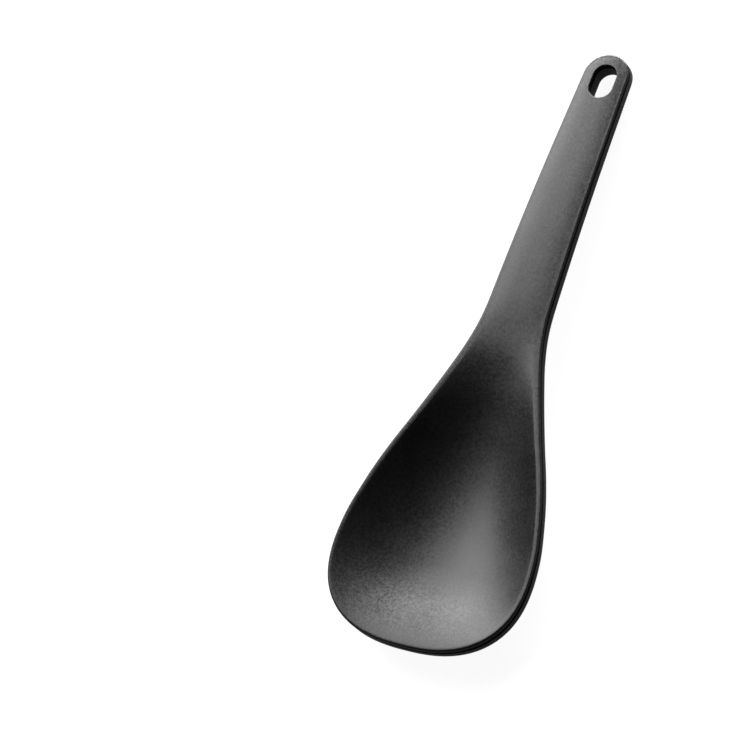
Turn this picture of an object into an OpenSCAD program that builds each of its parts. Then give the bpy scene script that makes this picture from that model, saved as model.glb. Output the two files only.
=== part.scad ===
// Rice paddle: a scoop-shaped blade and a slim handle with a hang slot.
// A stiff nylon core is wrapped in two silicone skins, which meet in a fine
// seam groove all round the edge and inside the slot. The paddle lies on its
// back with the dish up, the blade towards -Y and the handle towards +Y.

/* [Blade] */
// Length of the blade, from its round end to the neck
blade_len = 125; // [115:1:135]
// Width of the blade at its widest place
blade_w = 73.4; // [64:0.2:82]
// Distance from the round end to the widest place
round_len = 31.6; // [26:0.2:38]
// Squareness of the round end, where 2 is an ellipse
round_power = 2.45; // [2:0.05:2.8]
// Depth of the dish below the rim, at its deepest place
dish_depth = 9.4; // [7:0.2:11]
// Length of the dish, from the round end to where it runs out at the neck
dish_len = 118.5; // [110:0.5:126]
// Steepness of the dish towards its lip, where 2 is a plain bowl
dish_power = 2.2; // [2:0.1:3]
// Softness of the dish's meeting with its lip at the neck, where 1 is a crease
neck_softness = 1.2; // [1:0.05:1.5]
// Width of the lip between the dish and the outer edge, at the widest place
lip_w = 1.4; // [1.2:0.1:2.2]
// Width of the lip at the neck, where the dish runs out
neck_lip_w = 2.7; // [2.2:0.1:3.6]
// Thickness of the blade in the middle of the dish
blade_t = 3.2; // [2.8:0.1:4.4]

/* [Handle] */
// Length of the handle, from the neck to its round end
handle_len = 95; // [85:1:110]
// Width at the neck
neck_w = 22.7; // [20:0.1:27]
// Width at the handle's round end
end_w = 16.6; // [16.2:0.2:20]
// Rise of the front face from its edges to its middle
front_crown = 0.4; // [0.2:0.1:0.9]
// Rise of the back from its edges to its middle
back_crown = 1.8; // [1.2:0.1:2.4]
// Flatness of both crowns in the middle, where 2 is evenly round
crown_power = 2.7; // [2:0.1:3.5]
// Distance from the blade's round end to where both crowns start
crown_from = 108; // [100:1:116]
// Length over which both crowns grow
crown_run = 20; // [15:1:30]
// Distance from the blade's round end to where the handle starts to bend down
bend_from = 118; // [112:1:124]
// Length of the bend, after which the handle is straight
bend_len = 72; // [60:1:80]

/* [Edge and seam] */
// Thickness of the edge all round
edge_t = 5.6; // [5:0.1:6.4]
// Radius of the rounded front and back edges
edge_r = 0.9; // [0.6:0.1:1.2]
// Depth of the seam below the rim on the blade
blade_seam_drop = 2.3; // [2.1:0.1:2.8]
// Depth of the seam below the rim on the handle
handle_seam_drop = 1.6; // [1.5:0.1:2.2]
// Width of the seam groove
groove_w = 0.5; // [0.3:0.1:0.8]
// Depth of the seam groove
groove_depth = 0.6; // [0.4:0.1:0.8]

/* [Hang slot] */
// Width of the slot
slot_w = 8.6; // [7:0.1:9]
// Length of the slot
slot_len = 12.8; // [11:0.1:15]
// Distance from the handle's end to the middle of the slot
slot_from_end = 10.6; // [10:0.1:13]
// Width of the bevel round the slot's front and back mouths
slot_bevel = 0.5; // [0.3:0.1:0.6]

/* [Inside] */
// Thickness of each silicone skin over the core
skin_t = 0.9; // [0.8:0.1:1.1]
// Thickness of the silicone round the outside of the core
core_inset = 1.8; // [1.5:0.1:2]
// Thickness of the silicone lining of the slot
collar_t = 0.9; // [0.7:0.1:1.1]
// Diameter of the bosses that lock the skins through the core
lock_d = 3.5; // [2.5:0.1:4]
// Clearance round the bosses and the slot lining in the core
core_clearance = 0.05; // [0.02:0.01:0.1]
// Depth of the flats that the paddle rests on, cut into its back
rest_cut = 0.3; // [0.2:0.05:0.5]

/* [Hidden] */

// Width left above the neck's width, at even steps from the widest place to the neck
shoulder_shares = [1, 0.967, 0.885, 0.782, 0.653, 0.507, 0.368, 0.237, 0.118, 0.035, 0];
// Depth of the dish at even steps from the round end to where it runs out
dish_shares = [0, 0.455, 0.755, 0.925, 1, 0.977, 0.836, 0.58, 0.27, 0.054, 0];
// Lock bosses of the blade, as shares of its half width and of its length
blade_lock_shares = [[0, 0.22], [-0.4, 0.36], [0.4, 0.36], [0, 0.5], [0, 0.7]];
// Lock bosses of the handle, as shares of its length
handle_lock_shares = [0.12, 0.3, 0.48, 0.66];

round_steps = 12;
side_steps = 28;
cap_steps = 7;
columns = 14;
arc_steps = 2;
$fn = 48;

paddle_len = blade_len + handle_len;
tip_y = -paddle_len / 2;
wide_y = tip_y + round_len;
neck_y = tip_y + blade_len;
bend_y = tip_y + bend_from;
crown_y = tip_y + crown_from;
end_y = paddle_len / 2;
cap_r = end_w / 2;
cap_y = end_y - cap_r;
slot_y = end_y - slot_from_end;
rim_h = dish_depth + blade_t - rest_cut;
handle_h = edge_t + back_crown - rest_cut;
tail_slope = (rim_h - handle_h) / bend_run(cap_y);
tail_angle = atan(tail_slope);

// Smooth step from 0 to 1
function ease(u) = let (v = min(max(u, 0), 1)) v * v * (3 - 2 * v);

// Smooth curve through shares at even steps, read at u from 0 to 1
function curve(shares, u) =
    let (
        n = len(shares) - 1,
        s = min(max(u, 0), 1) * n,
        k = min(floor(s), n - 1),
        f = s - k,
        a = shares[max(k - 1, 0)],
        b = shares[k],
        c = shares[k + 1],
        d = shares[min(k + 2, n)]
    )
    b + f * (c - a) / 2 + f * f * (a - 2.5 * b + 2 * c - d / 2) + f * f * f * (1.5 * (b - c) + (d - a) / 2);

// Run of a line that starts level at the bend and is straight after it
function bend_run(y) =
    let (t = y - bend_y)
    t <= 0 ? 0 : t < bend_len ? t * t / (2 * bend_len) : t - bend_len / 2;

// Half width of the outline on the sides, between the two round ends
function half_width(y) =
    y < neck_y
    ? (neck_w + (blade_w - neck_w) * curve(shoulder_shares, (y - wide_y) / (neck_y - wide_y))) / 2
    : (neck_w + (end_w - neck_w) * (y - neck_y) / (cap_y - neck_y)) / 2;

// How far a point lies from the middle line towards the outline, moved in by
// inset: 0 on the middle line and 1 at the outline
function reach(p, inset) =
    let (x = abs(p[0]), y = p[1])
    min(1,
        y < wide_y
        ? pow(pow(x / (blade_w / 2 - inset), round_power)
            + pow((wide_y - y) / (round_len - inset), round_power), 1 / round_power)
        : y > cap_y
        ? norm([x, y - cap_y]) / (cap_r - inset)
        : x / (half_width(y) - inset));

// Heights of the rim, the seam, the front surface and the back surface
function rim_z(y) = rim_h - tail_slope * bend_run(y);
function seam_drop(y) =
    blade_seam_drop + (handle_seam_drop - blade_seam_drop) * ease((y - wide_y) / (neck_y - wide_y));
function seam_z(y) = rim_z(y) - seam_drop(y);
function crown_share(y) = ease((y - crown_y) / crown_run);
function dish_share(y) = curve(dish_shares, (y - tip_y) / dish_len);
function lip_at(y) = lip_w + (neck_lip_w - lip_w) * max(0, min(1, (y - wide_y) / (neck_y - wide_y)));

// Shares of the crown and of the hollow at a point, 0 at the line moved in by inset
function crown(p) = crown_share(p[1]) * (1 - pow(reach(p, edge_r), crown_power));
function hollow(p, inset) =
    dish_share(p[1])
    * pow(1 - pow(reach(p, inset), dish_power), 1 + (neck_softness - 1) * ease((p[1] - tip_y) / blade_len));

function front_z(p) = rim_z(p[1]) + front_crown * crown(p) - dish_depth * hollow(p, lip_at(p[1]));
function back_z(p) =
    rim_z(p[1]) - edge_t - back_crown * crown(p) - (dish_depth + blade_t - edge_t) * hollow(p, edge_r);
function middle_z(p) = (front_z(p) + back_z(p)) / 2;

// Outline from the middle of the round end up the right side to the handle's
// end, and its mirror image back down the left side
half_outline = concat(
    [for (i = [0 : round_steps]) let (a = 90 * i / round_steps)
        [blade_w / 2 * pow(sin(a), 2 / round_power), wide_y - round_len * pow(cos(a), 2 / round_power)]],
    [for (i = [1 : side_steps]) let (y = wide_y + (cap_y - wide_y) * i / side_steps) [half_width(y), y]],
    [for (i = [1 : cap_steps]) let (a = 90 * i / cap_steps) [cap_r * cos(a), cap_y + cap_r * sin(a)]]
);
last = len(half_outline) - 1;
count = 2 * last;
outline = concat(half_outline, [for (i = [last - 1 : -1 : 1]) [-half_outline[i][0], half_outline[i][1]]]);
outward = [for (k = [0 : count - 1])
    let (t = outline[(k + 1) % count] - outline[(k + count - 1) % count]) [t[1], -t[0]] / norm(t)];

// Closed ring of points, moved in from the outline, at the height that z_of gives
function ring(inset, z_of) =
    [for (k = [0 : count - 1]) let (p = outline[k] - inset * outward[k]) [p[0], p[1], z_of(p)]];

// Points inside a ring, in rows across the paddle that end on the ring
function grid(edge, z_of) =
    [for (i = [1 : last - 1], j = [1 : columns - 1])
        let (p = [edge[i][0] * sin(180 * j / columns - 90), edge[i][1]]) [p[0], p[1], z_of(p)]];

// Two triangles between four corners, facing out for rings that climb
function pair(a, b, c, d, climbs) = climbs ? [[a, c, b], [a, d, c]] : [[a, b, c], [a, c, d]];

// Number of the point in row i and column j of a grid inside a ring
function point_at(i, j, ring_at, grid_at) =
    i == 0 ? ring_at : i == last ? ring_at + last
    : j == 0 ? ring_at + count - i : j == columns ? ring_at + i
    : grid_at + (i - 1) * (columns - 1) + j - 1;

function grid_faces(ring_at, grid_at, climbs) =
    [for (i = [0 : last - 1], j = [0 : columns - 1])
        let (
            a = point_at(i, j, ring_at, grid_at),
            b = point_at(i, j + 1, ring_at, grid_at),
            c = point_at(i + 1, j + 1, ring_at, grid_at),
            d = point_at(i + 1, j, ring_at, grid_at)
        )
        each [for (f = pair(a, b, c, d, climbs)) if (f[0] != f[1] && f[1] != f[2] && f[2] != f[0]) f]];

function ring_faces(r, climbs) =
    [for (k = [0 : count - 1])
        let (m = (k + 1) % count)
        each pair(r * count + k, r * count + m, (r + 1) * count + m, (r + 1) * count + k, climbs)];

// Solid between a first surface inside the first ring and a last surface
// inside the last ring, with the rings joined in turn
module wrapped(rings, first_z, last_z, climbs) {
    n = len(rings);
    first = n * count;
    cells = (last - 1) * (columns - 1);
    polyhedron(
        points = concat([for (r = rings) each r], grid(rings[0], first_z), grid(rings[n - 1], last_z)),
        faces = concat(
            grid_faces(0, first, !climbs),
            [for (r = [0 : n - 2]) each ring_faces(r, climbs)],
            grid_faces((n - 1) * count, first + cells, climbs)
        )
    );
}

// Rounded edge: rings from the wall, over a quarter circle, to the face
function rounded_edge(z_at_face, sign) =
    [for (s = [0 : arc_steps]) let (a = 90 * s / arc_steps)
        ring(edge_r * (1 - cos(a)), function (p) z_at_face(p) - sign * edge_r * (1 - sin(a)))];

// Half of the seam: the land beside the core, then the groove out to the wall
function seam_rings(sign) = [
    ring(core_inset, function (p) seam_z(p[1])),
    ring(groove_depth, function (p) seam_z(p[1])),
    ring(groove_depth, function (p) seam_z(p[1]) + sign * groove_w / 2),
    ring(0, function (p) seam_z(p[1]) + sign * groove_w / 2)
];

module front_shape() {
    under = function (p) front_z(p) - skin_t;
    wrapped(
        concat([ring(core_inset, under)], seam_rings(1),
            rounded_edge(function (p) rim_z(p[1]), 1), [ring(lip_w, function (p) front_z(p))]),
        under, function (p) front_z(p), true);
}

module back_shape() {
    over = function (p) back_z(p) + skin_t;
    wrapped(
        concat([ring(core_inset, over)], seam_rings(-1),
            rounded_edge(function (p) rim_z(p[1]) - edge_t, -1)),
        over, function (p) back_z(p), false);
}

module core_shape() {
    bottom = function (p) back_z(p) + skin_t;
    top = function (p) front_z(p) - skin_t;
    wrapped(
        [ring(core_inset, bottom), ring(core_inset, function (p) seam_z(p[1])), ring(core_inset, top)],
        bottom, top, true);
}

// Places things on the rim plane at the slot, square to the straight handle
module at_slot() {
    translate([0, slot_y, rim_z(slot_y)]) rotate([-tail_angle, 0, 0]) children();
}

// Upright slot shape, wider than the slot by grow all round, from z0 to z1
module slot_block(grow, z0, z1) {
    half = (slot_len - slot_w) / 2;
    translate([0, 0, z0]) linear_extrude(z1 - z0) {
        square([slot_w + 2 * grow, 2 * half], center = true);
        for (side = [-1, 1]) translate([0, side * half]) circle(slot_w / 2 + grow);
    }
}

// Slot shape that widens at 45 degrees with the distance from z0
module slot_flare(z0, z1) {
    half = (slot_len - slot_w) / 2;
    r = slot_w / 2;
    wide = r + abs(z1 - z0);
    rotate([90, 0, 0]) linear_extrude(2 * half, center = true)
        polygon([[-r, z0], [r, z0], [wide, z1], [-wide, z1]]);
    for (side = [-1, 1]) translate([0, side * half, min(z0, z1)])
        cylinder(h = abs(z1 - z0), r1 = z0 < z1 ? r : wide, r2 = z0 < z1 ? wide : r);
}

seam_level = -handle_seam_drop * cos(tail_angle);
// Height of a crowned face beside the slot, as a share of the crown
slot_side_share = 1 - pow((slot_w / 2 + collar_t) / (cap_r - edge_r), crown_power);
// Root of each half of the lining, in the middle of the skin that it grows from
front_root = (front_crown * (1 + slot_side_share) - skin_t) / 2;
back_root = -edge_t - (back_crown * (1 + slot_side_share) - skin_t) / 2;
slot_reach = edge_t + front_crown + back_crown;

module slot_hole() {
    at_slot() {
        slot_block(0, -2 * slot_reach, slot_reach);
        slot_block(groove_depth, seam_level - groove_w / 2, seam_level + groove_w / 2);
        slot_flare(front_crown - slot_bevel, front_crown + slot_bevel);
        slot_flare(-edge_t - back_crown + slot_bevel, -edge_t - back_crown - slot_bevel);
    }
}

lock_places = concat(
    [for (s = blade_lock_shares) [s[0] * blade_w / 2, tip_y + s[1] * blade_len]],
    [for (s = handle_lock_shares) [0, neck_y + s * handle_len]]
);

module lock_pin(p, d, z0, z1) {
    translate([p[0], p[1], z0]) cylinder(h = z1 - z0, d = d);
}

module front_skin() {
    color([0.17, 0.17, 0.17]) difference() {
        union() {
            front_shape();
            at_slot() slot_block(collar_t, seam_level, front_root);
            for (p = lock_places) lock_pin(p, lock_d, middle_z(p), front_z(p) - skin_t / 2);
        }
        slot_hole();
    }
}

module back_skin() {
    color([0.12, 0.12, 0.12]) difference() {
        union() {
            back_shape();
            at_slot() slot_block(collar_t, back_root, seam_level);
            for (p = lock_places) lock_pin(p, lock_d, back_z(p) + skin_t / 2, middle_z(p));
        }
        slot_hole();
        translate([-blade_w, -paddle_len, -edge_t]) cube([2 * blade_w, 2 * paddle_len, edge_t]);
    }
}

module core() {
    color([0.32, 0.32, 0.34]) difference() {
        core_shape();
        at_slot() slot_block(collar_t + core_clearance, -2 * slot_reach, slot_reach);
        for (p = lock_places)
            lock_pin(p, lock_d + 2 * core_clearance, middle_z(p) - slot_reach, middle_z(p) + slot_reach);
    }
}

front_skin();
back_skin();
core();
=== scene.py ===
# %% [markdown]
# # A rice paddle, dressed in Blender
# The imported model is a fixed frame: three solids (front_skin, back_skin and core)
# that stay where they are. This lesson builds two finely modelled silicone skins over
# them, gives every piece its finish, and sets up a small studio with the camera,
# the floor and the lights. All lengths are in metres.

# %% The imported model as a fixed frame
import math

import bmesh
import bpy
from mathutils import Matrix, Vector


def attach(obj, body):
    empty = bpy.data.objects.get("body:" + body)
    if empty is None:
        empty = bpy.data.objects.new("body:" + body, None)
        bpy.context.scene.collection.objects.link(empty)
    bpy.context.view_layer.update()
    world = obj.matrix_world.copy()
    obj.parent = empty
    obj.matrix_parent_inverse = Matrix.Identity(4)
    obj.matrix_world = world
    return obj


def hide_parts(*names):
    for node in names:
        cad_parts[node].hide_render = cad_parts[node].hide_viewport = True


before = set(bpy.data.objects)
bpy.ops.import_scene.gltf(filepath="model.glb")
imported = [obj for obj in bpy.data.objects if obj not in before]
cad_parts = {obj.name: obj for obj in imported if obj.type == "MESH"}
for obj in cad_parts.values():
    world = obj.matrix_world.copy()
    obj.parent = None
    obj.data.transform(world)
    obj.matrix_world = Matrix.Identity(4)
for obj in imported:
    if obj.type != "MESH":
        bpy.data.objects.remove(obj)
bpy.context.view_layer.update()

MM = 0.001

# %% [markdown]
# ## The camera
# The paddle is seen from its right side, from well above and slightly from the blade's
# end, through a long lens. The camera is set by three turns: round the paddle
# (azimuth), up (elevation) and about its own axis (roll). It could be aimed with a
# Track To constraint, but three directions worked out once keep the roll exact.

# %% Camera placed by azimuth, elevation and roll
azimuth = math.radians(62.167)
elevation = math.radians(59.549)
roll = math.radians(-46.078)
camera_distance = 1522 * MM
aim_right, aim_up, aim_height = -46.29 * MM, -8.938 * MM, 6 * MM
film_width_mm, focal_length_mm = 36, 216.6
nearest_seen, farthest_seen = 0.05, 20

to_camera = Vector((math.sin(azimuth) * math.cos(elevation),
                    -math.cos(azimuth) * math.cos(elevation), math.sin(elevation)))
level_right = Vector((math.cos(azimuth), math.sin(azimuth), 0))
level_up = to_camera.cross(level_right)
view_right = level_right * math.cos(roll) + level_up * math.sin(roll)
view_up = level_up * math.cos(roll) - level_right * math.sin(roll)
aim = Vector((0, 0, aim_height)) + view_right * aim_right + view_up * aim_up

bpy.ops.object.select_all(action="DESELECT")
bpy.ops.object.camera_add(location=aim + to_camera * camera_distance)
camera = bpy.context.object
camera.name = "camera"
camera.rotation_mode = "QUATERNION"
camera.rotation_quaternion = to_camera.to_track_quat("Z", "Y")
turn = camera.rotation_quaternion.to_matrix()
turn.col[0], turn.col[1], turn.col[2] = view_right, view_up, to_camera
camera.rotation_quaternion = turn.to_quaternion()
camera.data.sensor_fit = "HORIZONTAL"
camera.data.sensor_width = film_width_mm
camera.data.lens = focal_length_mm
camera.data.clip_start, camera.data.clip_end = nearest_seen, farthest_seen
bpy.context.scene.camera = camera
bpy.context.scene.view_settings.view_transform = "Standard"
print("camera at", [round(v, 3) for v in camera.location])

# %% [markdown]
# ## The shape of the paddle as a few rules
# The real paddle is one flowing form, so it has no straight part to start from. Its
# outline, its rim line, the crown of the handle and the hollow of the dish are each a
# simple rule of the place along the paddle. Tracing it by hand with curves would give
# the same form, but a rule keeps it even and can be read at any point. The CAD model
# follows the same rules with the same sizes, so a skin laid out by them sits where its
# solid is. Only four details are finer here, all by well under a millimetre: the start
# of the hollow and the lip at the tip, the front edge's radius and the seam groove.

# %% Sizes of the outline
tip_y, end_y = -110 * MM, 110 * MM
blade_w, round_len, round_power = 73.4 * MM, 31.6 * MM, 2.45
neck_w, end_w = 22.7 * MM, 16.6 * MM
wide_y, neck_y = tip_y + round_len, 15 * MM
cap_r = end_w / 2
cap_y = end_y - cap_r
shoulder_shares = [1, 0.967, 0.885, 0.782, 0.653, 0.507, 0.368, 0.237, 0.118, 0.035, 0]
dish_shares = [0.25, 0.5, 0.765, 0.925, 1, 0.977, 0.836, 0.58, 0.27, 0.054, 0]


def clamp(u):
    return min(max(u, 0), 1)


def ease(u):
    return clamp(u) ** 2 * (3 - 2 * clamp(u))


def curve(shares, u):
    """Smooth curve through shares at even steps, read at u from 0 to 1."""
    n = len(shares) - 1
    s = clamp(u) * n
    k = min(int(s), n - 1)
    f = s - k
    a, b, c, d = shares[max(k - 1, 0)], shares[k], shares[k + 1], shares[min(k + 2, n)]
    return (b + f * (c - a) / 2 + f * f * (a - 2.5 * b + 2 * c - d / 2)
            + f ** 3 * (1.5 * (b - c) + (d - a) / 2))


def toward_neck(y):
    """0 where the blade is widest, 1 at the neck."""
    return (y - wide_y) / (neck_y - wide_y)


def half_width(y):
    if y < neck_y:
        share = curve(shoulder_shares, toward_neck(y))
        return (neck_w + (blade_w - neck_w) * share) / 2
    return (neck_w + (end_w - neck_w) * (y - neck_y) / (cap_y - neck_y)) / 2


def reach(x, y, inset):
    """0 on the middle line, 1 on the outline moved in by inset, more outside it."""
    if y < wide_y:
        across = abs(x) / (blade_w / 2 - inset)
        along = (wide_y - y) / (round_len - inset)
        return (across ** round_power + along ** round_power) ** (1 / round_power)
    if y > cap_y:
        return math.hypot(x, y - cap_y) / (cap_r - inset)
    return abs(x) / (half_width(y) - inset)


print("outline:", round((end_y - tip_y) / MM, 1), "by", round(blade_w / MM, 1), "mm")

# %% [markdown]
# ## Heights over the table
# On the real paddle the rim bends down from the neck to the handle's end, the dish
# sinks below it, and the handle is softly crowned on both sides. Sculpting could find
# these heights by eye. Here each is a sum of a few named rules, so that the two skins,
# the seam and the slot all follow the same rim.

# %% Heights of the rim, the seam, the face and the back
dish_depth, dish_len, dish_power, neck_softness = 9.4 * MM, 118.5 * MM, 2.2, 1.2
lip_w, neck_lip_w, tip_lip_w, blade_t = 1.4 * MM, 2.7 * MM, 1.1 * MM, 3.2 * MM
tip_lip_run = 22 * MM
front_crown, back_crown, crown_power = 0.4 * MM, 1.8 * MM, 2.7
crown_y, crown_run = -2 * MM, 20 * MM
bend_y, bend_len = 8 * MM, 72 * MM
edge_t, edge_r = 5.6 * MM, 0.9 * MM
blade_seam_drop, handle_seam_drop = 2.3 * MM, 1.6 * MM
rest_cut, skin_t = 0.3 * MM, 0.9 * MM
rim_h = dish_depth + blade_t - rest_cut
handle_h = edge_t + back_crown - rest_cut
crease_share = 0.03


def bend_run(y):
    t = y - bend_y
    return 0 if t <= 0 else t * t / (2 * bend_len) if t < bend_len else t - bend_len / 2


tail_slope = (rim_h - handle_h) / bend_run(cap_y)
tail_angle = math.atan(tail_slope)


def rim_z(y):
    return rim_h - tail_slope * bend_run(y)


def seam_z(y):
    share = ease(toward_neck(y))
    return rim_z(y) - blade_seam_drop - (handle_seam_drop - blade_seam_drop) * share


def lip_at(y):
    """Width of the lip, which is widest at the neck and narrowest at the tip."""
    tip_share = ease((wide_y - y) / tip_lip_run)
    side = lip_w + (neck_lip_w - lip_w) * clamp(toward_neck(y))
    return side - (lip_w - tip_lip_w) * tip_share


def crown_at(x, y):
    return ease((y - crown_y) / crown_run) * (1 - min(reach(x, y, edge_r), 1) ** crown_power)


def hollow_at(x, y, inset, rounding):
    """Share of the hollow, 0 at the line moved in by inset, with a rounded crease there."""
    inside = 1 - reach(x, y, inset) ** dish_power
    rounded = (inside + math.hypot(inside, rounding)) / 2
    softness = 1 + (neck_softness - 1) * ease((y - tip_y) / (neck_y - tip_y))
    return curve(dish_shares, (y - tip_y) / dish_len) * max(rounded, 0) ** softness


def face_z(x, y):
    return (rim_z(y) + front_crown * crown_at(x, y)
            - dish_depth * hollow_at(x, y, lip_at(y), crease_share))


def belly_z(x, y):
    """Height of the back, before the small flats it rests on are cut."""
    return (rim_z(y) - edge_t - back_crown * crown_at(x, y)
            - (dish_depth + blade_t - edge_t) * hollow_at(x, y, edge_r, 0))


print("rim height", round(rim_h / MM, 2), "mm, tail angle", round(math.degrees(tail_angle), 2))

# %% [markdown]
# ## The outline as one measured line
# Every ring of the edge follows the outline at some inset, so each border point keeps
# one number: how far round the outline it lies, from the tip, positive on the right.
# A finely stepped table turns that number into a place and an outward direction. A
# curve object could draw the same line, but a table is easier to ask for the point at
# a given distance.

# %% Table of the outline
table_steps = 1200


def outline_table():
    points = []
    for i in range(table_steps):
        a = math.pi / 2 * i / table_steps
        points.append((blade_w / 2 * math.sin(a) ** (2 / round_power),
                       wide_y - round_len * math.cos(a) ** (2 / round_power)))
    for i in range(table_steps):
        y = wide_y + (cap_y - wide_y) * i / table_steps
        points.append((half_width(y), y))
    for i in range(table_steps + 1):
        a = math.pi / 2 * i / table_steps
        points.append((cap_r * math.cos(a), cap_y + cap_r * math.sin(a)))
    lengths = [0.0]
    for p, q in zip(points, points[1:]):
        lengths.append(lengths[-1] + math.dist(p, q))
    return points, lengths


outline, outline_lengths = outline_table()
half_round = outline_lengths[-1]
closest, direction_steps = 0.001 * MM, 4


def place_in(lengths, s):
    """Number of the table's step that holds s, by halving."""
    low, high = 0, len(lengths) - 1
    while high - low > 1:
        middle = (low + high) // 2
        low, high = (middle, high) if lengths[middle] <= s else (low, middle)
    return low


def on_outline(s, inset):
    """Point at the signed distance s round the outline, moved in by inset."""
    far = min(abs(s), half_round)
    k = place_in(outline_lengths, far)
    f = (far - outline_lengths[k]) / (outline_lengths[k + 1] - outline_lengths[k])
    x, y = (a + (b - a) * f for a, b in zip(outline[k], outline[k + 1]))
    before = outline[max(k - direction_steps, 0)]
    after = outline[min(k + 1 + direction_steps, len(outline) - 1)]
    along = Vector((after[0] - before[0], after[1] - before[1])).normalized()
    if far < closest or far > half_round - closest:
        along = Vector((1 if far < closest else -1, 0))
    side = -1 if s < 0 else 1
    return side * (x - inset * along.y), y + inset * along.x


print("outline from tip to end:", round(half_round / MM, 1), "mm")

# %% [markdown]
# ## The hang slot as a measured line
# The slot is an obround through the handle's end, square to the sloping handle. Its
# points get the same kind of number, and a slot grown wider keeps the numbers, so the
# rings inside the slot line up with each other without any merging by hand.

# %% Slot line
slot_w, slot_len = 8.6 * MM, 12.8 * MM
slot_from_end = 10.6 * MM
slot_y = end_y - slot_from_end
slot_half = (slot_len - slot_w) / 2
border_grow = 1.2 * MM
border_r = slot_w / 2 + border_grow
slot_round = math.pi * border_r + 2 * slot_half
slot_across = Vector((1, 0, 0))
slot_along = Vector((0, math.cos(tail_angle), -math.sin(tail_angle)))
slot_out = Vector((0, math.sin(tail_angle), math.cos(tail_angle)))
slot_middle = Vector((0, slot_y, rim_z(slot_y)))


def on_slot(s, grow, height):
    """Point round the slot, grown by grow, at a height over the rim plane."""
    far, quarter = abs(s), math.pi / 2 * border_r
    if far < quarter:
        a, middle = far / border_r - math.pi / 2, -slot_half
    elif far < quarter + 2 * slot_half:
        a, middle = 0, far - quarter - slot_half
    else:
        a, middle = (far - quarter - 2 * slot_half) / border_r, slot_half
    r = slot_w / 2 + grow
    x, y = math.copysign(r * math.cos(a), s), middle + r * math.sin(a)
    point = slot_middle + slot_across * x + slot_along * y + slot_out * height(x, slot_y + y)
    point.z = max(point.z, 0)
    return point


print("slot line at its border:", round(2 * slot_round / MM, 1), "mm")

# %% [markdown]
# ## One flat blank for both skins
# Each skin needs a smooth, even net of faces with a hole for the slot. A grid
# primitive is stretched onto the outline, a block of its faces is deleted where the
# slot is, the hole's border is laid on the slot line, and the points between are
# relaxed with the smooth operator. A boolean could cut the slot instead, but it would
# leave long thin faces round it. The blank is made once, flat, and copied four times.

# %% Where the net's border lies
corner_tip, corner_from_end = 38 * MM, 7.2 * MM
corner_end = half_round - corner_from_end
crease_room, handle_crowding = 0.9 * MM, 0.22
neck_inset, inset_drop, inset_run = 4.1 * MM, 2.2 * MM, 45 * MM


def blank_inset(y):
    """How far in from the outline the net ends. Rings of the edge fill the rest."""
    if y < neck_y:
        return lip_at(y) + crease_room
    return neck_inset - inset_drop * ease((y - neck_y) / inset_run)


def side_place(v):
    """Distance round the outline of a row, with closer rows on the handle."""
    return corner_tip + (corner_end - corner_tip) * (v + handle_crowding * v * (1 - v))


def border_place(u, v):
    """Distance round the outline of a point on the grid's border, u and v from -1 to 1."""
    if v == -1:
        return u * corner_tip
    if v == 1:
        return math.copysign(half_round - abs(u) * (half_round - corner_end), u)
    return u * side_place((v + 1) / 2)


def border_point(u, v):
    s = border_place(u, v)
    return Vector(on_outline(s, blank_inset(on_outline(s, 0)[1])))


def stretched(u, v):
    """Place inside four border lines, as an even blend of them."""
    a, b = (u + 1) / 2, (v + 1) / 2
    sides = border_point(-1, v) * (1 - a) + border_point(1, v) * a
    ends = border_point(u, -1) * (1 - b) + border_point(u, 1) * b
    corners = ((border_point(-1, -1) * (1 - a) + border_point(1, -1) * a) * (1 - b)
               + (border_point(-1, 1) * (1 - a) + border_point(1, 1) * a) * b)
    return sides + ends - corners


print("side of the net:", round((corner_end - corner_tip) / MM, 1), "mm")


# %% Helpers that add a piece and open it
def start(add, name, **sizes):
    """Adds a primitive with nothing else selected and names it."""
    bpy.ops.object.select_all(action="DESELECT")
    add(**sizes)
    piece = bpy.context.object
    piece.name = piece.data.name = name
    return piece


def edit(piece):
    """Opens a piece in edit mode and gives its mesh."""
    bpy.ops.object.select_all(action="DESELECT")
    bpy.context.view_layer.objects.active = piece
    piece.select_set(True)
    bpy.ops.object.mode_set(mode="EDIT")
    return bmesh.from_edit_mesh(piece.data)


# %% Blank: a grid stretched onto the outline
columns, rows = 32, 150
border = {"none": 0, "outline": 1, "slot": 2}
blank = start(bpy.ops.mesh.primitive_grid_add, "blank", x_subdivisions=columns,
              y_subdivisions=rows, size=2)
net = edit(blank)
around = net.verts.layers.float.new("around")
kind = net.verts.layers.int.new("kind")
# Two marks for the material: painted shade, and rubbing with its painted highlight.
for label in ("shade", "rub"):
    net.verts.layers.float.new(label)
places = {}
for vert in net.verts:
    column = round((vert.co.x + 1) / 2 * columns)
    row = round((vert.co.y + 1) / 2 * rows)
    places[vert.index] = (column, row)
    u, v = 2 * column / columns - 1, 2 * row / rows - 1
    if column in (0, columns) or row in (0, rows):
        vert[kind], vert[around] = border["outline"], border_place(u, v)
        vert.co.xy = border_point(u, v)
    else:
        vert.co.xy = stretched(u, v)
print("blank:", len(net.verts), "points")

# %% [markdown]
# ## Opening the blank for the slot
# The handle's end has an obround opening, so the net needs one too. A block of faces
# near the end goes, and the block's border points are shared out evenly round the slot
# line, which keeps the faces round the slot close to square.

# %% Hole of the slot in the blank
margin, slot_rows = 2, 18
first_row, last_row = rows - margin - slot_rows, rows - margin
half_columns = columns // 2 - margin
slot_steps = 2 * half_columns + slot_rows


def flat_height(x, y):
    return 0


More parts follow.
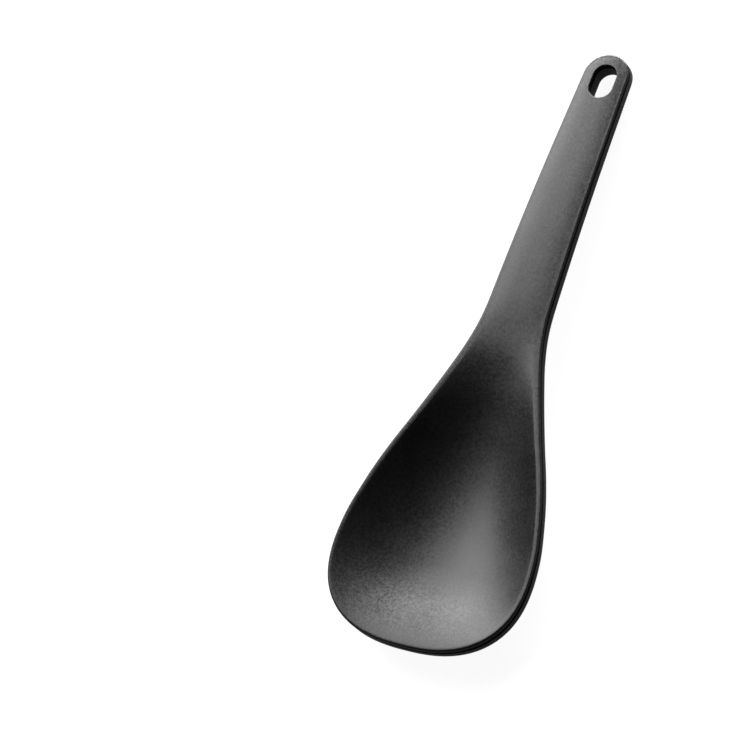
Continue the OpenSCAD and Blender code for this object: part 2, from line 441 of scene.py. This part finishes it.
for vert in net.verts:
    column, row = places[vert.index]
    across = column - columns // 2
    if abs(across) > half_columns or not first_row <= row <= last_row:
        continue
    if row == first_row:
        step = abs(across)
    elif row == last_row:
        step = slot_steps - abs(across)
    elif abs(across) == half_columns:
        step = half_columns + row - first_row
    else:
        continue
    vert[kind] = border["slot"]
    vert[around] = math.copysign(slot_round * step / slot_steps, across)
    vert.co.xy = on_slot(vert[around], border_grow, flat_height).xy

bpy.ops.mesh.select_all(action="DESELECT")
bpy.ops.mesh.select_mode(type="FACE")
for face in net.faces:
    spots = [places[v.index] for v in face.verts]
    column = sum(c for c, _ in spots) / 4 - columns / 2
    row = sum(r for _, r in spots) / 4
    if abs(column) < half_columns and first_row < row < last_row:
        face.select_set(True)
bpy.ops.mesh.delete(type="FACE")
print("blank with its hole:", len(net.faces), "faces")

# %% [markdown]
# ## Relaxing the net
# Round the slot and at the tip the net is bunched up, and a glossy surface would show
# that as ripples. The smooth operator moves each free point to the middle of its
# neighbours, again and again, while the two borders stay where they were laid.

# %% Relaxing the net near both ends
relaxed_from, slot_repeats, tip_repeats = 60 * MM, 160, 60
bpy.ops.mesh.select_mode(type="VERT")
for end_side, repeat in ((1, slot_repeats), (-1, tip_repeats)):
    bpy.ops.mesh.select_all(action="DESELECT")
    for vert in net.verts:
        vert.select_set(vert[kind] == border["none"] and end_side * vert.co.y > relaxed_from)
    bpy.ops.mesh.vertices_smooth(factor=0.5, repeat=repeat)
print("relaxed near the tip:", sum(v.select for v in net.verts), "points")
bpy.ops.object.mode_set(mode="OBJECT")

# %% [markdown]
# ## Laying the blank and running rings round it
# A copy of the blank becomes a face of a skin when each point is lifted to its height.
# The edge is then built as by hand: its open border is selected and extruded, and each
# new ring is laid at its own inset and height. A bevel on a plain slab could round the
# edge too, but the lip, the crease and the seam groove change along the paddle, and
# rings follow that exactly.

# %% Helper that lays the blank at a height
def laid(name, height, flip=False):
    """Copy of the blank with every point lifted to its height."""
    bpy.ops.object.select_all(action="DESELECT")
    blank.select_set(True)
    bpy.context.view_layer.objects.active = blank
    bpy.ops.object.duplicate()
    piece = bpy.context.object
    piece.name = piece.data.name = name
    for vert in piece.data.vertices:
        vert.co.z = height(vert.co.x, vert.co.y)
    if flip:
        edit(piece)
        bpy.ops.mesh.select_all(action="SELECT")
        bpy.ops.mesh.flip_normals()
        bpy.ops.object.mode_set(mode="OBJECT")
    return piece


# %% Helpers that run rings round it
def marked(ring, shade=0, rub=0):
    """Gives a ring the marks that the material reads: how much painted shade, how rubbed and
    painted paler.
    """
    ring.shade, ring.rub = shade, rub
    return ring


def run_rings(piece, which, rings):
    """Extrudes the open border again and again, each time onto the next ring."""
    mesh = edit(piece)
    bpy.ops.mesh.select_mode(type="EDGE")
    bpy.ops.mesh.select_all(action="DESELECT")
    kinds = mesh.verts.layers.int["kind"]
    for edge in mesh.edges:
        if edge.is_boundary and all(v[kinds] == border[which] for v in edge.verts):
            edge.select_set(True)
    for ring in rings:
        bpy.ops.mesh.extrude_edges_indiv()
        mesh = bmesh.from_edit_mesh(piece.data)
        numbers, shade, rub = (mesh.verts.layers.float[n] for n in ("around", "shade", "rub"))
        for vert in mesh.verts:
            if vert.select:
                vert.co = ring(vert[numbers])
                vert[shade], vert[rub] = getattr(ring, "shade", 0), getattr(ring, "rub", 0)
    bpy.ops.object.mode_set(mode="OBJECT")


def edge_ring(inset, height):
    """Ring at an inset from the outline. Both may be rules of the place."""
    def place(s):
        y0 = on_outline(s, 0)[1]
        x, y = on_outline(s, inset(y0) if callable(inset) else inset)
        return Vector((x, y, height(x, y)))
    return place


def slot_ring(grow, height):
    return lambda s: on_slot(s, grow, height)


# %% Helper that closes a skin
merge_distance = 0.002 * MM


def close_up(piece, inner):
    """Joins the inner face and merges the rings' last points with its borders."""
    bpy.ops.object.select_all(action="DESELECT")
    piece.select_set(True)
    inner.select_set(True)
    bpy.context.view_layer.objects.active = piece
    bpy.ops.object.join()
    edit(piece)
    bpy.ops.mesh.select_all(action="SELECT")
    bpy.ops.mesh.remove_doubles(threshold=merge_distance)
    mesh = bmesh.from_edit_mesh(piece.data)
    open_edges = sum(not e.is_manifold for e in mesh.edges)
    volume = mesh.calc_volume(signed=True)
    bpy.ops.object.mode_set(mode="OBJECT")
    print(piece.name, len(piece.data.polygons), "faces, open edges:", open_edges,
          "volume in ml:", round(volume * 1e6, 2))


# %% [markdown]
# ## Front skin
# The front skin is the soft sheet that the eye rests on: the handle's face, the dish,
# a narrow lip round it, a softly rounded edge and a short wall that ends in the seam.
# Its rings go out from the net over the crease and the lip, round the edge, down the
# wall, into the seam groove and back under the skin. Each ring also carries two marks
# for its material: how rubbed it is, which makes it smoother and paints a pale highlight
# on it, and how much painted shade it gets in and above the seam groove.

# %% Rules for the rings of an edge
least_room, crease_step = 0.6 * MM, 0.15 * MM


def lip_ring(offset):
    """Inset that keeps a distance from the crease, inside the net's border."""
    return lambda y: min(lip_at(y), blank_inset(y) - least_room) + offset


def under_z(x, y):
    return face_z(x, y) - skin_t


def rim_line(x, y):
    return rim_z(y)


def seam_line(x, y):
    return seam_z(y)


# %% Rings of the seam groove
groove_w, groove_depth, core_inset = 0.8 * MM, 0.9 * MM, 1.8 * MM
blade_groove_up, blade_groove_down = 0.9 * MM, 0.1 * MM
groove_lip = 0.08 * MM
lip_start = 0.3 * groove_lip
# Painted shade on the groove's upper and lower lip.
upper_lip_shade, lower_lip_shade = 0.9, 0.5


def groove_half(y, side):
    """Height of the groove's wall over the seam. It opens more upwards on the blade."""
    blade_share = 1 - ease(toward_neck(y))
    blade_half = blade_groove_up if side > 0 else blade_groove_down
    return side * (groove_w / 2 + (blade_half - groove_w / 2) * blade_share)


def seam_rings(side):
    """Groove and land of the seam, above it for side 1 and below it for side -1."""
    def wall(beyond):
        return lambda x, y: seam_z(y) + groove_half(y, side) + side * beyond
    # The groove's rings get painted shade, which the material turns near black.
    return [
        marked(edge_ring(0, wall(groove_lip)), shade=upper_lip_shade if side > 0 else 0),
        marked(edge_ring(lip_start, wall(lip_start)),
               shade=1 if side > 0 else lower_lip_shade),
        marked(edge_ring(groove_lip, wall(0)), shade=1),
        marked(edge_ring(groove_depth, wall(0)), shade=1),
        marked(edge_ring(groove_depth, seam_line), shade=1),
        edge_ring(core_inset, seam_line),
    ]


# %% Rings of the front skin's edge
side_r, tip_r, tip_r_run = 0.5 * MM, 0.9 * MM, 26 * MM
front_flat_inset = 0.95 * MM
# Painted shade on the front wall's last ring above the groove, and a first painted highlight,
# with rubbing, where the rounding starts.
wall_shade, first_rub = 0.85, 0.4
arc_steps = 6


def front_r(y):
    """Radius of the front edge, which is larger where the tip slides along the pot."""
    return side_r + (tip_r - side_r) * ease((wide_y - y) / tip_r_run)


def rounded_edge(height, side, radius):
    """Quarter circle from the face out to the wall, with its radius as a rule."""
    rings = []
    for i in range(1, arc_steps + 1):
        a = math.pi / 2 * i / arc_steps
        inset, drop = 1 - math.sin(a), side * (1 - math.cos(a))
        # Each ring of the arc is rubbed and painted paler, most halfway round; on the front, the
        # last ring gets painted shade.
        rings.append(marked(edge_ring(lambda y, k=inset: radius(y) * k,
                                      lambda x, y, k=drop: height(x, y) - radius(y) * k),
                            shade=wall_shade if side > 0 and i == arc_steps else 0,
                            rub=math.sin(2 * a)))
    return rings


front = laid("front_skin_silicone", face_z)
lip_offsets = [0.35 * MM, crease_step, 0, -crease_step]
run_rings(front, "outline", [edge_ring(lip_ring(offset), face_z) for offset in lip_offsets]
          + [edge_ring(front_flat_inset, face_z),
             marked(edge_ring(front_r, face_z), rub=first_rub)]
          + rounded_edge(rim_line, 1, front_r)
          + seam_rings(1)
          + [edge_ring(core_inset, under_z), edge_ring(lip_ring(crease_step), under_z),
             edge_ring(blank_inset, under_z)])
print("front skin:", len(front.data.polygons), "faces before its slot")

# %% [markdown]
# ## Lining of the slot in the front skin
# The slot is lined with silicone too. Its mouth is rounded, the wall goes down to the
# same kind of seam groove, and a thin collar stands between the slot and the core. A
# separate sleeve would be quicker to make, but the real lining is one with the skin.

# %% Rings of a slot
collar_t, mouth_r = 0.9 * MM, 0.2 * MM
slot_groove_depth, slot_flat_grow = 0.6 * MM, 0.6 * MM
# Painted shade where the slot's mouth meets its wall, on the front.
mouth_shade = 0.8
seam_level = -handle_seam_drop * math.cos(tail_angle)


def level(height):
    return lambda x, y: height


def mouth_rings(height, side):
    """Rounded mouth from the face down into the slot."""
    rings = []
    for i in range(1, arc_steps + 1):
        a = math.pi / 2 * i / arc_steps
        drop = side * mouth_r * (1 - math.cos(a))
        # The mouth is rubbed and painted paler halfway round; on the front, its last ring gets
        # painted shade.
        rings.append(marked(slot_ring(mouth_r * (1 - math.sin(a)),
                                      lambda x, y, d=drop: height(x, y) - d),
                            shade=mouth_shade if side > 0 and i == arc_steps else 0,
                            rub=math.sin(2 * a)))
    return rings


def slot_seam_rings(side):
    wall = seam_level + side * groove_w / 2
    # The slot's groove gets painted shade, like the edge's groove.
    return [
        marked(slot_ring(0, level(wall + side * groove_lip)),
               shade=upper_lip_shade if side > 0 else 0),
        marked(slot_ring(lip_start, level(wall + side * lip_start)),
               shade=1 if side > 0 else lower_lip_shade),
        marked(slot_ring(groove_lip, level(wall)), shade=1),
        marked(slot_ring(slot_groove_depth, level(wall)), shade=1),
        marked(slot_ring(slot_groove_depth, level(seam_level)), shade=1),
        slot_ring(collar_t, level(seam_level)),
    ]


def inner_ring(grow, height):
    """Slot ring that ends on the inner face, at the height its rule gives."""
    def place(s):
        p = on_slot(s, grow, flat_height)
        return Vector((p.x, p.y, height(p.x, p.y)))
    return place


# %% The front skin's slot
def front_crown_height(x, y):
    return front_crown * crown_at(x, y)


run_rings(front, "slot",
          [slot_ring(slot_flat_grow, front_crown_height), slot_ring(mouth_r, front_crown_height)]
          + mouth_rings(front_crown_height, 1)
          + slot_seam_rings(1)
          + [inner_ring(collar_t, under_z), inner_ring(border_grow, under_z)])
close_up(front, laid("front_inner", under_z, flip=True))

# %% [markdown]
# ## Back skin
# The back skin is the belly of the blade and the crowned back of the handle. It is
# made in the same way, downwards. A mirrored copy of the front would be quicker, but
# the back is crowned more and has no lip. Two small flats in the plane Z = 0 are what
# the paddle lies on, so no point of the back goes below that plane.

# %% Rules for the back skin
back_flat_inset = 1.15 * MM


def back_z(x, y):
    return max(belly_z(x, y), 0)


def over_z(x, y):
    return belly_z(x, y) + skin_t


def back_line(x, y):
    return rim_z(y) - edge_t


def back_crown_height(x, y):
    return -edge_t - back_crown * crown_at(x, y)


# %% Back skin
back = laid("back_skin_silicone", back_z, flip=True)
run_rings(back, "outline", [edge_ring(lip_ring(0), back_z), edge_ring(back_flat_inset, back_z),
                            edge_ring(edge_r, back_z)]
          + rounded_edge(back_line, -1, lambda y: edge_r)
          + seam_rings(-1)
          + [edge_ring(core_inset, over_z), edge_ring(lip_ring(crease_step), over_z),
             edge_ring(blank_inset, over_z)])
run_rings(back, "slot",
          [slot_ring(slot_flat_grow, back_crown_height), slot_ring(mouth_r, back_crown_height)]
          + mouth_rings(back_crown_height, -1)
          + slot_seam_rings(-1)
          + [inner_ring(collar_t, over_z), inner_ring(border_grow, over_z)])
close_up(back, laid("back_inner", over_z))
bpy.data.objects.remove(blank)

# %% [markdown]
# ## Smooth shading
# Silicone flows round its curves, yet the lips of the seam groove are crisp. Shading
# by angle keeps both: faces that meet at less than 38 degrees look like one surface,
# and the groove's corners stay sharp. Each skin then takes the place of its solid.

# %% Smooth shading with crisp groove edges
smooth_below = math.radians(38)
for piece, node, slot_name in ((front, "front_skin", "silicone_front"),
                               (back, "back_skin", "silicone_back")):
    bpy.ops.object.select_all(action="DESELECT")
    bpy.context.view_layer.objects.active = piece
    piece.select_set(True)
    bpy.ops.object.shade_smooth_by_angle(angle=smooth_below)
    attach(piece, "root")
    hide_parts(node)
    print(piece.name, "stands for", node)

# %% [markdown]
# ## Shared effects
# Moulded silicone isn't flat black. The mould leaves a fine pebbled grain, the surface
# has faint cloudy patches from the release film and from handling, and its edges are
# rubbed a little smoother. These effects are used by several materials, so each is a
# node group with named inputs and outputs, built once. A few short helpers add the
# nodes and link them, which keeps each effect readable.

# %% Helpers for nodes
def new_group(name, inputs, outputs):
    """Node group with float, vector or colour sockets given by name and type."""
    tree = bpy.data.node_groups.new(name, "ShaderNodeTree")
    for direction, sockets in (("INPUT", inputs), ("OUTPUT", outputs)):
        for label, (kind_of, value) in sockets.items():
            socket = tree.interface.new_socket(label, in_out=direction,
                                               socket_type="NodeSocket" + kind_of)
            if value is not None:
                socket.default_value = value
    return tree, tree.nodes.new("NodeGroupInput"), tree.nodes.new("NodeGroupOutput")


def node(tree, kind_of, links=(), **values):
    """Adds a node, sets its values, and links its inputs from other sockets."""
    made = tree.nodes.new("ShaderNode" + kind_of)
    for key, value in values.items():
        setattr(made, key, value)
    for place, source in dict(links).items():
        socket = made.inputs[place]
        if isinstance(source, bpy.types.NodeSocket):
            tree.links.new(source, socket)
        else:
            socket.default_value = source
    return made


def math_node(tree, operation, *parts):
    return node(tree, "Math", dict(enumerate(parts)), operation=operation).outputs[0]


# %% [markdown]
# ## The grain that the mould leaves
# The mould is blasted with beads, so the silicone has pebbles a little under a
# millimetre wide with smaller pits between them. Smooth Voronoi cells give the pebbles
# and noise gives the pits. It is only a height, which a Bump node turns into light and
# dark and which also varies the sheen. Real geometry that fine would need millions of
# faces.

# %% Moulded grain
pits_per_pebble = 0.7


def make_grain():
    tree, given, out = new_group(
        "moulded_grain",
        {"Place": ("Vector", None), "Pebbles per metre": ("Float", 1800.0),
         "Pebble share": ("Float", 0.5)},
        {"Height": ("Float", None)})
    place, density, share = given.outputs[:3]
    pebbles = node(tree, "TexVoronoi", {"Vector": place, "Scale": density,
                                        "Smoothness": 0.6}, feature="SMOOTH_F1")
    pit_density = math_node(tree, "MULTIPLY", density, pits_per_pebble)
    pits = node(tree, "TexNoise", {"Vector": place, "Scale": pit_density, "Detail": 3.0,
                                   "Roughness": 0.6})
    mixed = node(tree, "Mix", {"Factor": share, "A": pits.outputs["Fac"],
                               "B": pebbles.outputs["Distance"]})
    tree.links.new(mixed.outputs["Result"], out.inputs["Height"])
    return tree


# %% [markdown]
# ## Cloudy film from handling
# A thin film of release agent and finger grease makes some places a little glossier
# and paler than others, in clouds of one or two centimetres. Distorted noise, cut to a
# soft mask, gives that, and the same mask drives both tone and roughness.

# %% Handling film
def make_film():
    tree, given, out = new_group(
        "handling_film",
        {"Place": ("Vector", None), "Patches per metre": ("Float", 60.0),
         "Low": ("Float", 0.4), "High": ("Float", 0.5)},
        {"Value": ("Float", None), "Mask": ("Float", None)})
    place, density, low, high = given.outputs[:4]
    broad = node(tree, "TexNoise", {"Vector": place, "Scale": density, "Detail": 4.0,
                                    "Roughness": 0.55, "Distortion": 0.4})
    mask = node(tree, "MapRange", {"Value": broad.outputs["Fac"], "From Min": 0.32,
                                   "From Max": 0.68}, interpolation_type="SMOOTHSTEP")
    value = node(tree, "MapRange", {"Value": mask.outputs[0], "To Min": low, "To Max": high})
    tree.links.new(value.outputs[0], out.inputs["Value"])
    tree.links.new(mask.outputs[0], out.inputs["Mask"])
    return tree


# %% [markdown]
# ## Rubbed edges, their painted highlight and the seam's painted shade
# Rounded edges are rubbed smoother by the pot and the hand, and their colour is painted
# paler there as a painted highlight. The seam groove and the wall above it get painted
# shade: their colour goes to near black, their roughness to 1 and their coat away. Both
# follow the shape, so they are read from the two marks that every ring of the mesh
# carries, and need no picture texture.

# %% Rubbed edges with a painted highlight and the seam's painted shade
# Near-black colour of the seam's painted shade, and how much rubbing lowers the roughness.
painted_groove_shade, rub_polish = (0.001, 0.001, 0.001, 1), 0.07


def make_edges():
    tree, given, out = new_group(
        "edge_wear_and_painted_light",
        {"Colour": ("Color", None), "Roughness": ("Float", 0.4), "Gleam": ("Float", 0.0),
         "Rub and highlight": ("Float", 0.0), "Painted highlight colour": ("Color", (0.03, 0.03, 0.03, 1)),
         "Painted shade": ("Float", 0.0)},
        {"Colour": ("Color", None), "Roughness": ("Float", None), "Gleam": ("Float", None)})
    colour, roughness, gleam, rub, rub_colour, shade = given.outputs[:6]
    # Rubbed places are painted paler: a painted highlight along the edges.
    paler = node(tree, "Mix", {"Factor": rub, "A": colour, "B": rub_colour}, data_type="RGBA")
    # Painted shade: in and above the seam groove the colour goes to near black.
    black = node(tree, "Mix", {"Factor": shade, "A": paler.outputs["Result"],
                               "B": painted_groove_shade}, data_type="RGBA")
    polish = math_node(tree, "MULTIPLY", rub, rub_polish)
    smoother = math_node(tree, "SUBTRACT", roughness, polish)
    # In the painted shade the roughness goes to 1 and the coat goes away.
    duller = node(tree, "Mix", {"Factor": shade, "A": smoother, "B": 1.0})
    tree.links.new(black.outputs["Result"], out.inputs["Colour"])
    tree.links.new(duller.outputs["Result"], out.inputs["Roughness"])
    lit = math_node(tree, "SUBTRACT", 1.0, shade)
    tree.links.new(math_node(tree, "MULTIPLY", gleam, lit), out.inputs["Gleam"])
    return tree


grain_group, film_group, edge_group = make_grain(), make_film(), make_edges()
print("node groups:", grain_group.name, film_group.name, edge_group.name)


# %% [markdown]
# ## Matte silicone
# The skins are black silicone from a finely blasted mould: just off pure black, with a
# broad soft highlight that carries most of what the eye sees. So the two tones are
# close and very dark, and the roughness does the work. A thin coat, stronger on the
# pebbles than in the pits, adds a fine sparkle that also shows inside the highlight,
# where a bump alone would vanish. The core is glass-filled nylon, which is greyer and
# rougher. Both come from one recipe with different values.

# %% Helpers for materials
def material(name):
    made = bpy.data.materials.new(name)
    made.use_nodes = True
    return made, made.node_tree, made.node_tree.nodes["Principled BSDF"]


def use(tree, group, links):
    made = tree.nodes.new("ShaderNodeGroup")
    made.node_tree = group
    for label, source in links.items():
        if isinstance(source, bpy.types.NodeSocket):
            tree.links.new(source, made.inputs[label])
        else:
            made.inputs[label].default_value = source
    return made


def wear_and_painted_light(tree, tone, roughness, gleam, rub_colour):
    """Blends in the rubbed edges, painted paler as a highlight, and the seam's painted shade
    from the mesh's marks.
    """
    shade = node(tree, "Attribute", attribute_name="shade").outputs["Fac"]
    rub = node(tree, "Attribute", attribute_name="rub").outputs["Fac"]
    edges = use(tree, edge_group, {"Colour": tone, "Roughness": roughness, "Gleam": gleam,
                                   "Rub and highlight": rub, "Painted highlight colour": rub_colour, "Painted shade": shade})
    return edges.outputs


# %% Recipe of a moulded material
grain_low, grain_high = 0.25, 0.65
film_patches, pebble_share = 70.0, 0.45


def follow(tree, height, low, high):
    """Value that runs from low in the pits to high on the pebbles."""
    return node(tree, "MapRange", {"Value": height, "From Min": grain_low,
                                   "From Max": grain_high, "To Min": low,
                                   "To Max": high}).outputs["Result"]


def moulded(name, dark, light, rub_colour, rough, grain, specular):
    """Moulded material from two tones, a rubbed tone, two roughnesses and a grain."""
    made, tree, shader = material(name)
    place = node(tree, "TexCoord").outputs["Object"]
    film = use(tree, film_group, {"Place": place, "Patches per metre": film_patches,
                                  "Low": rough[0], "High": rough[1]})
    tone = node(tree, "Mix", {"Factor": film.outputs["Mask"], "A": dark, "B": light},
                data_type="RGBA")
    height = use(tree, grain_group, {"Place": place, "Pebbles per metre": grain["per metre"],
                                     "Pebble share": pebble_share}).outputs["Height"]
    uneven = follow(tree, height, -grain["roughness"], grain["roughness"])
    roughness = math_node(tree, "ADD", film.outputs["Value"], uneven)
    colour, roughness, gleam = wear_and_painted_light(tree, tone.outputs["Result"], roughness,
                                    follow(tree, height, 0.0, grain["gleam"]), rub_colour)
    tree.links.new(colour, shader.inputs["Base Color"])
    tree.links.new(roughness, shader.inputs["Roughness"])
    tree.links.new(gleam, shader.inputs["Coat Weight"])
    bump = node(tree, "Bump", {"Height": height, "Strength": 1.0, "Distance": grain["height"]})
    tree.links.new(bump.outputs["Normal"], shader.inputs["Normal"])
    shader.inputs["Specular IOR Level"].default_value = specular
    shader.inputs["Coat Roughness"].default_value = rough[1]
    return made


# %% Silicone and nylon
silicone = moulded(
    "matte_silicone", dark=(0.009, 0.009, 0.0093, 1), light=(0.013, 0.013, 0.0133, 1),
    rub_colour=(0.03, 0.03, 0.031, 1), rough=(0.34, 0.39), specular=0.45,
    grain={"per metre": 1300.0, "height": 0.018 * MM, "roughness": 0.08, "gleam": 0.5})
nylon = moulded(
    "filled_nylon", dark=(0.05, 0.05, 0.055, 1), light=(0.07, 0.07, 0.075, 1),
    rub_colour=(0.08, 0.08, 0.085, 1), rough=(0.5, 0.6), specular=0.5,
    grain={"per metre": 900.0, "height": 0.01 * MM, "roughness": 0.04, "gleam": 0.1})
for piece in (front, back):
    piece.data.materials.clear()
    piece.data.materials.append(silicone)
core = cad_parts["core"]
core.data.materials.clear()
core.data.materials.append(nylon)
print("materials:", silicone.name, nylon.name)

# %% [markdown]
# ## The studio
# A plain pale floor runs out of sight. Seen directly it glows almost white, while its
# own colour is a middle grey on which the lamps still draw a soft shadow. In
# reflections it is dimmer, because a fully white one would fill the dark seam with
# light. A white picture behind the paddle would do for one view, but a floor gives the
# paddle something to lie on from every side.

# %% Floor
seen_white, gloss_white, floor_grey, floor_size = 0.94, 0.12, 0.3, 8


def seen_directly(light_path):
    """Strength that shows only along straight rays from the camera."""
    tree = light_path.id_data
    straight = math_node(tree, "MAXIMUM", light_path.outputs["Is Camera Ray"],
                         light_path.outputs["Is Transmission Ray"])
    return math_node(tree, "MULTIPLY", straight, seen_white)


floor = start(bpy.ops.mesh.primitive_plane_add, "floor", size=floor_size, location=(0, 0, 0))
paper, tree, shader = material("floor_paper")
place = node(tree, "TexCoord").outputs["Object"]
fibre = use(tree, film_group, {"Place": place, "Patches per metre": 8.0, "Low": 0.9,
                               "High": 1.0})
tree.links.new(fibre.outputs["Value"], shader.inputs["Roughness"])
shader.inputs["Base Color"].default_value = (floor_grey, floor_grey, floor_grey, 1)
shader.inputs["Specular IOR Level"].default_value = 0
shader.inputs["Emission Color"].default_value = (1, 1, 1, 1)
seen = node(tree, "LightPath")
in_gloss = math_node(tree, "MULTIPLY", seen.outputs["Is Glossy Ray"], gloss_white)
glow = math_node(tree, "MAXIMUM", seen_directly(seen), in_gloss)
tree.links.new(glow, shader.inputs["Emission Strength"])
floor.data.materials.append(paper)
print("floor shows", seen_white, "in view and", gloss_white, "in gloss")

# %% [markdown]
# ## Room and lamps
# Past the floor the room shows the same white, but it hardly lights the paddle. One
# large softbox at the paddle's left and above gives the broad sheen on the handle and
# the dish. A long low strip behind the handle's end brings out the far slope of the
# dish and leaves the near slope dark. Sun lamps would be simpler, but their hard
# shadows and small glints would make the silicone look wet.

# %% Room
room_glow = 0.02
world = bpy.context.scene.world or bpy.data.worlds.new("world")
bpy.context.scene.world = world
world.use_nodes = True
tree = world.node_tree
walls = tree.nodes["Background"]
walls.inputs["Color"].default_value = (1, 1, 1, 1)
glow = math_node(tree, "MAXIMUM", seen_directly(node(tree, "LightPath")), room_glow)
tree.links.new(glow, walls.inputs["Strength"])
print("room light:", room_glow)


# %% Lamps
lamp_distance = 1.3


def soft_lamp(name, around, up, wide, high, power):
    """Softbox seen from the paddle at an angle round from +X and an angle up."""
    around, up = math.radians(around), math.radians(up)
    from_paddle = Vector((math.cos(around) * math.cos(up), math.sin(around) * math.cos(up),
                          math.sin(up)))
    bpy.ops.object.select_all(action="DESELECT")
    bpy.ops.object.light_add(type="AREA", location=from_paddle * lamp_distance)
    lamp = bpy.context.object
    lamp.name = name
    lamp.rotation_mode = "QUATERNION"
    lamp.rotation_quaternion = from_paddle.to_track_quat("Z", "Y")
    lamp.data.shape = "RECTANGLE"
    lamp.data.size, lamp.data.size_y = wide, high
    lamp.data.energy = power
    return lamp


softbox = soft_lamp("large_softbox", around=148, up=41.4, wide=0.72, high=0.72, power=10.5)
strip = soft_lamp("low_strip", around=112, up=12, wide=1.38, high=0.3, power=53)
print("lamps:", softbox.name, strip.name)
